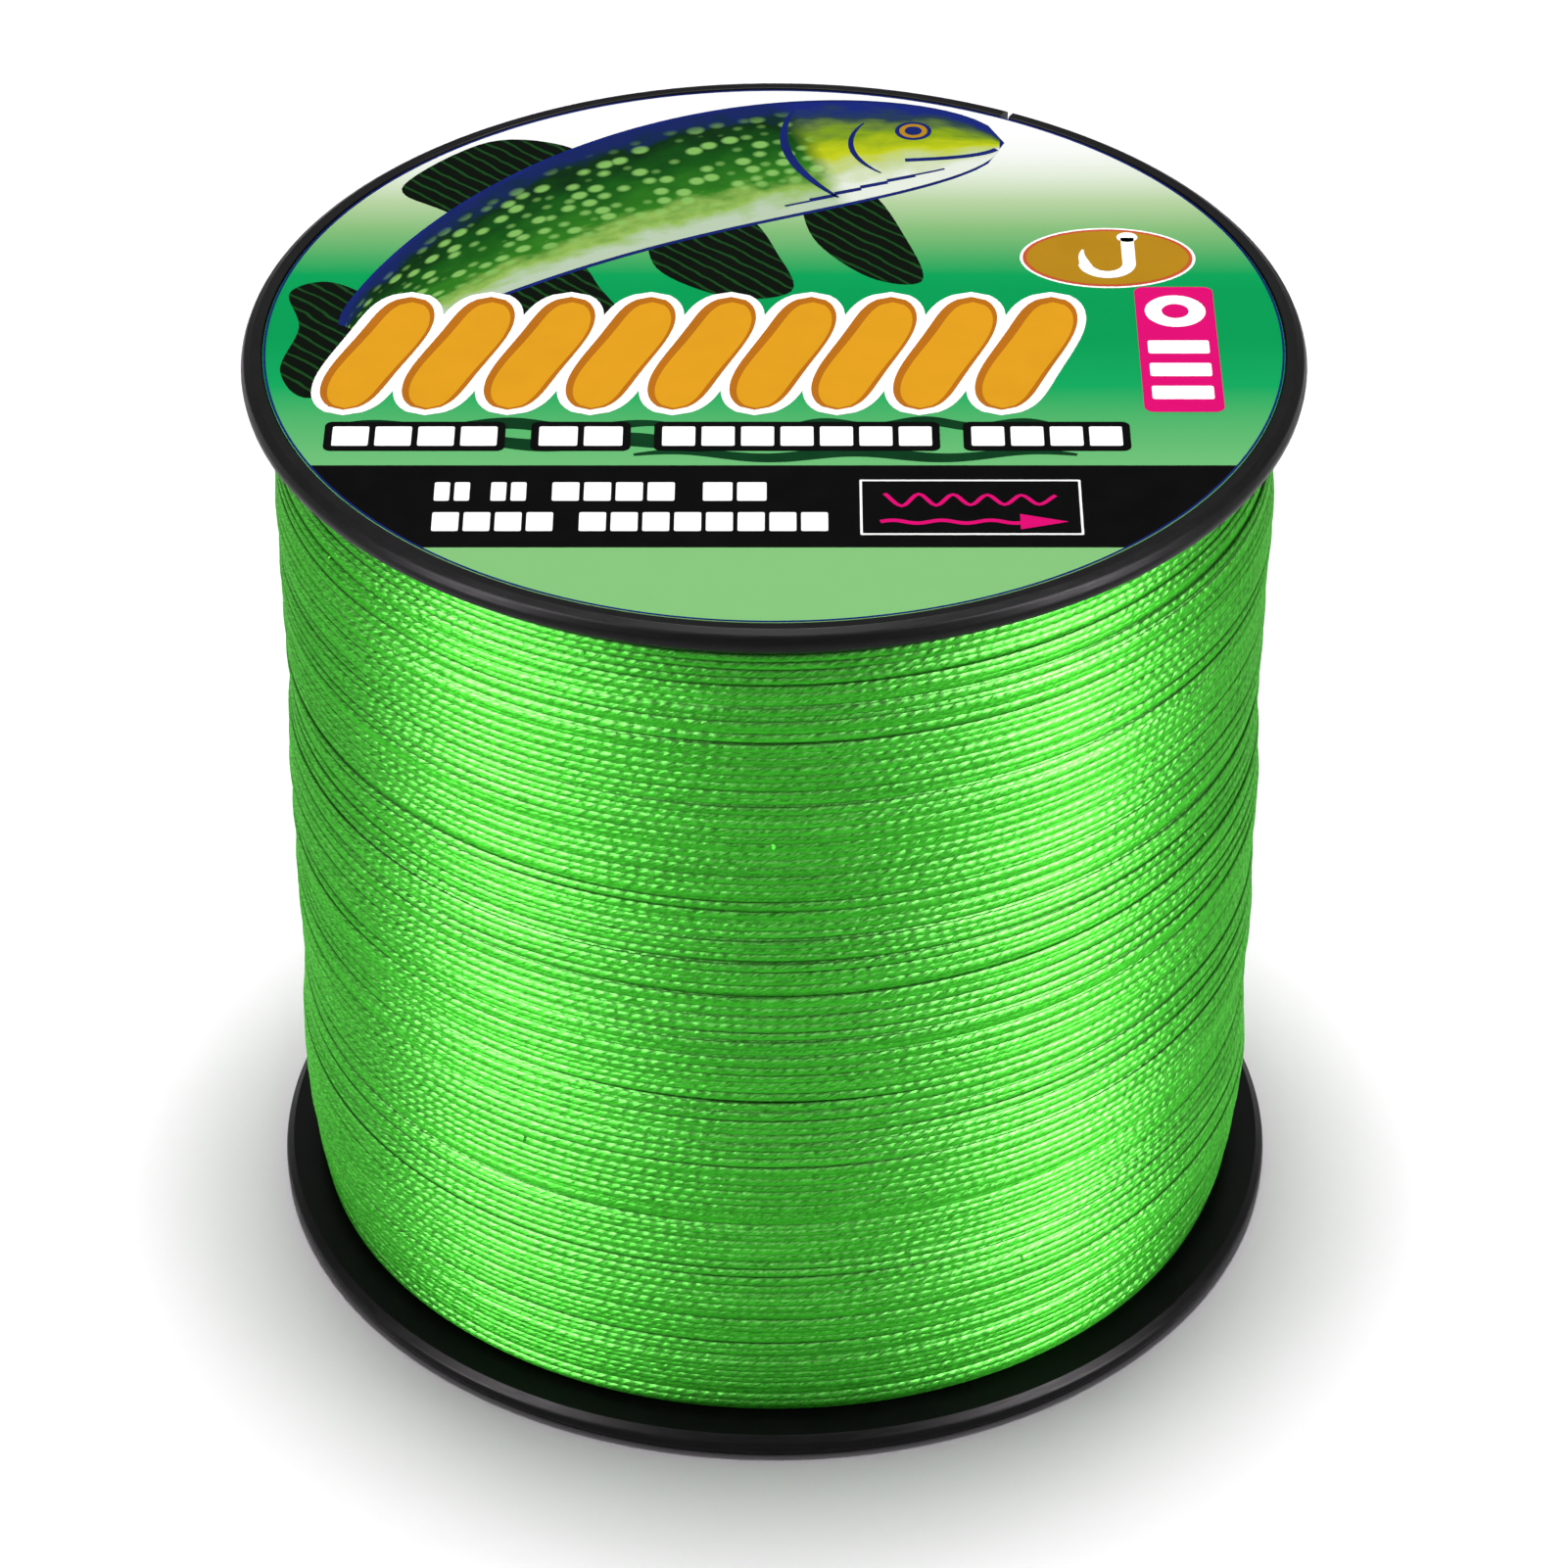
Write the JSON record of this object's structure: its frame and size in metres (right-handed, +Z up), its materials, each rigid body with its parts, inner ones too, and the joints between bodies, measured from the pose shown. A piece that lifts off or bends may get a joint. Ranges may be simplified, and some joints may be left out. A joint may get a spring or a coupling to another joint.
{
  "type": "fishing line spool",
  "caption": "Round plastic bulk spool with thin rimmed flanges, wound full of bright green braided fishing line, with a printed disc label on its face.",
  "frame": {"origin": "centre of the rest plane under the lower flange's rim, on the spool's axis", "axes": "+Z up along the spool's axis towards the labelled flange; +X to the right and +Y to the back as the label's printed band is seen from its straight lower side"},
  "size_m": [0.094, 0.094, 0.09],
  "materials": {
    "black_plastic": "satin injection-moulded black plastic",
    "braided_line": "bright green waxed polyethylene braid with a silky sheen",
    "label_print": "glossy laminated print, white to emerald to pale green with a black band",
    "tape": "matte masking tape"
  },
  "bodies": {
    "root": {"upper_flange": "black_plastic", "lower_flange": "black_plastic", "hub_barrel": "black_plastic", "arbor_tape": "tape", "line_winding": "braided_line", "line_tail": "braided_line", "upper_label": "label_print", "lower_label": "label_print"}
  },
  "joints": []
}
